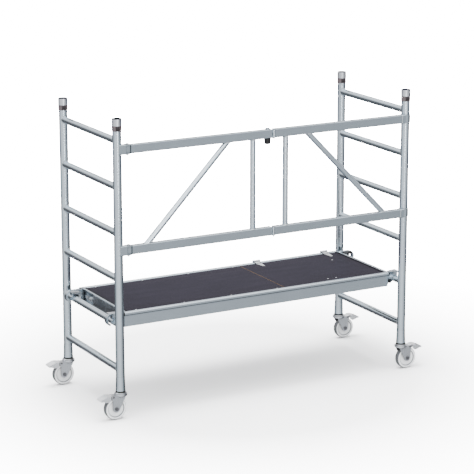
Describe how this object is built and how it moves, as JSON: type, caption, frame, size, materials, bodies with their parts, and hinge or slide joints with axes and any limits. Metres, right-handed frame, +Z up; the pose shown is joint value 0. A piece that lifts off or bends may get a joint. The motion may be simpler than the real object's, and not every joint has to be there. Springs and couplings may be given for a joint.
{
  "type": "baker scaffold",
  "caption": "Narrow mobile scaffold: two ladder end frames on braked castors, folding guardrail frame on one side and a work platform with a hatch.",
  "frame": {"origin": "on the floor, at the middle of the scaffold's outline in plan", "axes": "+X along the platform from the fixed deck towards the hatch, +Y from the guardrail side to the open rear side, +Z up"},
  "size_m": [2.062, 0.76, 1.643],
  "materials": {
    "aluminium_tube": "satin mill-finish extrusion",
    "aluminium_collar": "satin",
    "band_plastic": "matte dark brown-grey",
    "black_plastic": "matte",
    "aluminium_platform": "satin extrusion",
    "zinc_steel": "bright zinc plate",
    "pedal_zinc": "bright zinc plate",
    "wheel_polyamide": "semi-matte pale grey polyamide",
    "deck_phenolic": "phenolic film-faced plywood, anti-slip",
    "rivet_steel": "satin"
  },
  "bodies": {
    "frames": {"post_front_left": "aluminium_tube", "post_rear_left": "aluminium_tube", "post_front_right": "aluminium_tube", "post_rear_right": "aluminium_tube", "rungs_left": "aluminium_tube", "rungs_right": "aluminium_tube", "socket_collars": "aluminium_collar", "collar_bands": "band_plastic", "foot_plugs": "black_plastic", "castor_kingpins": "zinc_steel", "guard_stubs": "aluminium_tube", "guard_stub_pins": "zinc_steel"},
    "castor_front_left": {"castor_front_left_fork": "zinc_steel", "castor_front_left_bolts": "zinc_steel"},
    "wheel_front_left": {"castor_front_left_wheel": "wheel_polyamide"},
    "pedal_front_left": {"castor_front_left_brake_pedal": "pedal_zinc"},
    "castor_rear_left": {"castor_rear_left_fork": "zinc_steel", "castor_rear_left_bolts": "zinc_steel"},
    "wheel_rear_left": {"castor_rear_left_wheel": "wheel_polyamide"},
    "pedal_rear_left": {"castor_rear_left_brake_pedal": "pedal_zinc"},
    "castor_front_right": {"castor_front_right_fork": "zinc_steel", "castor_front_right_bolts": "zinc_steel"},
    "wheel_front_right": {"castor_front_right_wheel": "wheel_polyamide"},
    "pedal_front_right": {"castor_front_right_brake_pedal": "pedal_zinc"},
    "castor_rear_right": {"castor_rear_right_fork": "zinc_steel", "castor_rear_right_bolts": "zinc_steel"},
    "wheel_rear_right": {"castor_rear_right_wheel": "wheel_polyamide"},
    "pedal_rear_right": {"castor_rear_right_brake_pedal": "pedal_zinc"},
    "guard_right": {"guard_right_upper_rail": "aluminium_tube", "guard_right_lower_rail": "aluminium_tube", "guard_right_upright": "aluminium_tube", "guard_right_diagonal": "aluminium_tube", "guard_right_brackets": "aluminium_tube", "guard_right_centre_leaves": "aluminium_tube"},
    "guard_left": {"guard_left_upper_rail": "aluminium_tube", "guard_left_lower_rail": "aluminium_tube", "guard_left_upright": "aluminium_tube", "guard_left_diagonal": "aluminium_tube", "guard_left_tongues": "aluminium_tube", "guard_left_centre_leaves": "aluminium_tube", "guard_lock_spring": "zinc_steel"},
    "guard_lock": {"guard_lock_bolt": "zinc_steel", "guard_lock_knob": "black_plastic"},
    "platform": {"platform_front_rail": "aluminium_platform", "platform_rear_rail": "aluminium_platform", "platform_end_beams": "aluminium_platform", "platform_cross_members": "aluminium_platform", "platform_deck_panel": "deck_phenolic", "platform_hooks": "aluminium_platform", "platform_rail_caps": "black_plastic", "platform_release_plates": "zinc_steel", "deck_rivets": "rivet_steel", "hatch_hinge_brackets": "aluminium_platform"},
    "hatch": {"platform_hatch_panel": "deck_phenolic", "hatch_straps": "aluminium_platform", "hatch_screws": "rivet_steel"},
    "catch_front_left": {"platform_catch_front_left": "zinc_steel"},
    "catch_rear_left": {"platform_catch_rear_left": "zinc_steel"},
    "catch_front_right": {"platform_catch_front_right": "black_plastic"},
    "catch_rear_right": {"platform_catch_rear_right": "black_plastic"}
  },
  "joints": [
    {"name": "castor_swivel_front_left", "type": "hinge", "parent": "frames", "child": "castor_front_left", "pos_m": [-0.9, -0.339, 0.135], "axis": [0, 0, 1], "continuous": true},
    {"name": "wheel_spin_front_left", "type": "hinge", "parent": "castor_front_left", "child": "wheel_front_left", "pos_m": [-0.935, -0.339, 0.0625], "axis": [0, 1, 0], "continuous": true},
    {"name": "brake_pedal_front_left", "type": "hinge", "parent": "castor_front_left", "child": "pedal_front_left", "pos_m": [-0.952, -0.339, 0.131], "axis": [0, 1, 0], "range_deg": [0, 16]},
    {"name": "castor_swivel_rear_left", "type": "hinge", "parent": "frames", "child": "castor_rear_left", "pos_m": [-0.9, 0.344, 0.135], "axis": [0, 0, 1], "continuous": true},
    {"name": "wheel_spin_rear_left", "type": "hinge", "parent": "castor_rear_left", "child": "wheel_rear_left", "pos_m": [-0.935, 0.344, 0.0625], "axis": [0, 1, 0], "continuous": true},
    {"name": "brake_pedal_rear_left", "type": "hinge", "parent": "castor_rear_left", "child": "pedal_rear_left", "pos_m": [-0.952, 0.344, 0.131], "axis": [0, 1, 0], "range_deg": [0, 16]},
    {"name": "castor_swivel_front_right", "type": "hinge", "parent": "frames", "child": "castor_front_right", "pos_m": [0.9, -0.339, 0.135], "axis": [0, 0, 1], "continuous": true},
    {"name": "wheel_spin_front_right", "type": "hinge", "parent": "castor_front_right", "child": "wheel_front_right", "pos_m": [0.935, -0.339, 0.0625], "axis": [0, 1, 0], "continuous": true},
    {"name": "brake_pedal_front_right", "type": "hinge", "parent": "castor_front_right", "child": "pedal_front_right", "pos_m": [0.952, -0.339, 0.131], "axis": [0, -1, 0], "range_deg": [0, 16]},
    {"name": "castor_swivel_rear_right", "type": "hinge", "parent": "frames", "child": "castor_rear_right", "pos_m": [0.9, 0.344, 0.135], "axis": [0, 0, 1], "continuous": true},
    {"name": "wheel_spin_rear_right", "type": "hinge", "parent": "castor_rear_right", "child": "wheel_rear_right", "pos_m": [0.935, 0.344, 0.0625], "axis": [0, 1, 0], "continuous": true},
    {"name": "brake_pedal_rear_right", "type": "hinge", "parent": "castor_rear_right", "child": "pedal_rear_right", "pos_m": [0.952, 0.344, 0.131], "axis": [0, -1, 0], "range_deg": [0, 16]},
    {"name": "guard_fold", "type": "hinge", "parent": "frames", "child": "guard_right", "pos_m": [0.9, -0.339, 1.2], "axis": [0, 0, 1], "range_deg": [-84, 0]},
    {"name": "guard_centre_hinge", "type": "hinge", "parent": "guard_right", "child": "guard_left", "pos_m": [0.026, -0.3735, 1.2], "axis": [0, 0, 1], "range_deg": [0, 168]},
    {"name": "guard_lock_slide", "type": "slide", "parent": "guard_left", "child": "guard_lock", "axis": [0, 0, 1], "range_m": [-0.014, 0], "stiffness_N_per_m": 600, "springref_m": 0.004, "deforming": ["guard_lock_spring"]},
    {"name": "platform_lift", "type": "slide", "parent": "frames", "child": "platform", "axis": [0, 0, 1], "range_m": [0, 0.04]},
    {"name": "hatch_hinge", "type": "hinge", "parent": "platform", "child": "hatch", "pos_m": [0.5, 0.2865, 0.579], "axis": [-1, 0, 0], "range_deg": [0, 95]},
    {"name": "catch_front_left_pivot", "type": "hinge", "parent": "platform", "child": "catch_front_left", "pos_m": [-0.876, -0.236, 0.556], "axis": [0, -1, 0], "range_deg": [0, 37]},
    {"name": "catch_rear_left_pivot", "type": "hinge", "parent": "platform", "child": "catch_rear_left", "pos_m": [-0.876, 0.241, 0.556], "axis": [0, -1, 0], "range_deg": [0, 37]},
    {"name": "catch_front_right_pivot", "type": "hinge", "parent": "platform", "child": "catch_front_right", "pos_m": [0.876, -0.236, 0.556], "axis": [0, 1, 0], "range_deg": [0, 37]},
    {"name": "catch_rear_right_pivot", "type": "hinge", "parent": "platform", "child": "catch_rear_right", "pos_m": [0.876, 0.241, 0.556], "axis": [0, 1, 0], "range_deg": [0, 37]}
  ],
  "couplings": [
    {"joint": "guard_centre_hinge", "follows": "guard_fold", "ratio": -2},
    {"joint": "catch_front_left_pivot", "follows": "platform_lift", "rad_per_m": 16.06},
    {"joint": "catch_rear_left_pivot", "follows": "platform_lift", "rad_per_m": 16.06},
    {"joint": "catch_front_right_pivot", "follows": "platform_lift", "rad_per_m": 16.06},
    {"joint": "catch_rear_right_pivot", "follows": "platform_lift", "rad_per_m": 16.06}
  ]
}
